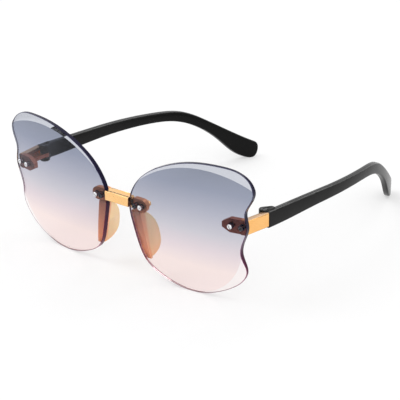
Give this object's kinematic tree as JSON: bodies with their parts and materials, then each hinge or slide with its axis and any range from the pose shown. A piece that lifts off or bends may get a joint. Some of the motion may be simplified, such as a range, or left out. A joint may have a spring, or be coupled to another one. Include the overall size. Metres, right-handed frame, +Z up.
{
  "type": "sunglasses",
  "caption": "Rimless butterfly-shaped sunglasses: faceted gradient lenses screwed to a flat gold metal bridge and endpieces, amber nose pads, and black temples that fold in",
  "frame": {"origin": "on the floor that the open sunglasses stand on, under the middle of their width and of their depth", "axes": "+Z up, the lenses face -Y, the temples run back along +Y, and +X is on the right of someone who looks at the lenses from the front"},
  "size_m": [0.1368, 0.1532, 0.0608],
  "materials": {
    "lens_tint": "polished, tinted grey-blue at the top and fading to pink at the bottom",
    "gold_metal": "polished warm gold plating",
    "black_plastic": "polished black",
    "amber_plastic": "clear amber, smooth",
    "silver_metal": "bright steel",
    "black_metal": "blackened steel",
    "black_washer": "black nylon",
    "clear_plastic": "clear"
  },
  "bodies": {
    "front": {"lens_left": "lens_tint", "lens_right": "lens_tint", "bridge": "gold_metal", "endpiece_left": "gold_metal", "endpiece_right": "gold_metal", "nose_pad_left": "amber_plastic", "nose_pad_right": "amber_plastic", "bridge_screws_left": "silver_metal", "bridge_screws_right": "silver_metal", "endpiece_screws_left": "silver_metal", "endpiece_screws_right": "silver_metal", "bridge_nuts_left": "gold_metal", "bridge_nuts_right": "gold_metal", "endpiece_nut_left": "gold_metal", "endpiece_nut_right": "gold_metal", "bridge_washers_left": "black_washer", "bridge_washers_right": "black_washer", "endpiece_washers_left": "black_washer", "endpiece_washers_right": "black_washer", "bridge_sleeves_left": "clear_plastic", "bridge_sleeves_right": "clear_plastic", "endpiece_sleeves_left": "clear_plastic", "endpiece_sleeves_right": "clear_plastic"},
    "temple_arm_left": {"temple_left": "black_plastic", "hinge_screw_left": "black_metal"},
    "temple_arm_right": {"temple_right": "black_plastic", "hinge_screw_right": "black_metal"}
  },
  "joints": [
    {"name": "fold_left", "type": "hinge", "parent": "front", "child": "temple_arm_left", "pos_m": [-0.0625, -0.05453, 0.03566], "axis": [0, 0, -1], "range_deg": [0, 76]},
    {"name": "fold_right", "type": "hinge", "parent": "front", "child": "temple_arm_right", "pos_m": [0.0625, -0.05453, 0.03566], "axis": [0, 0, 1], "range_deg": [0, 84]}
  ]
}
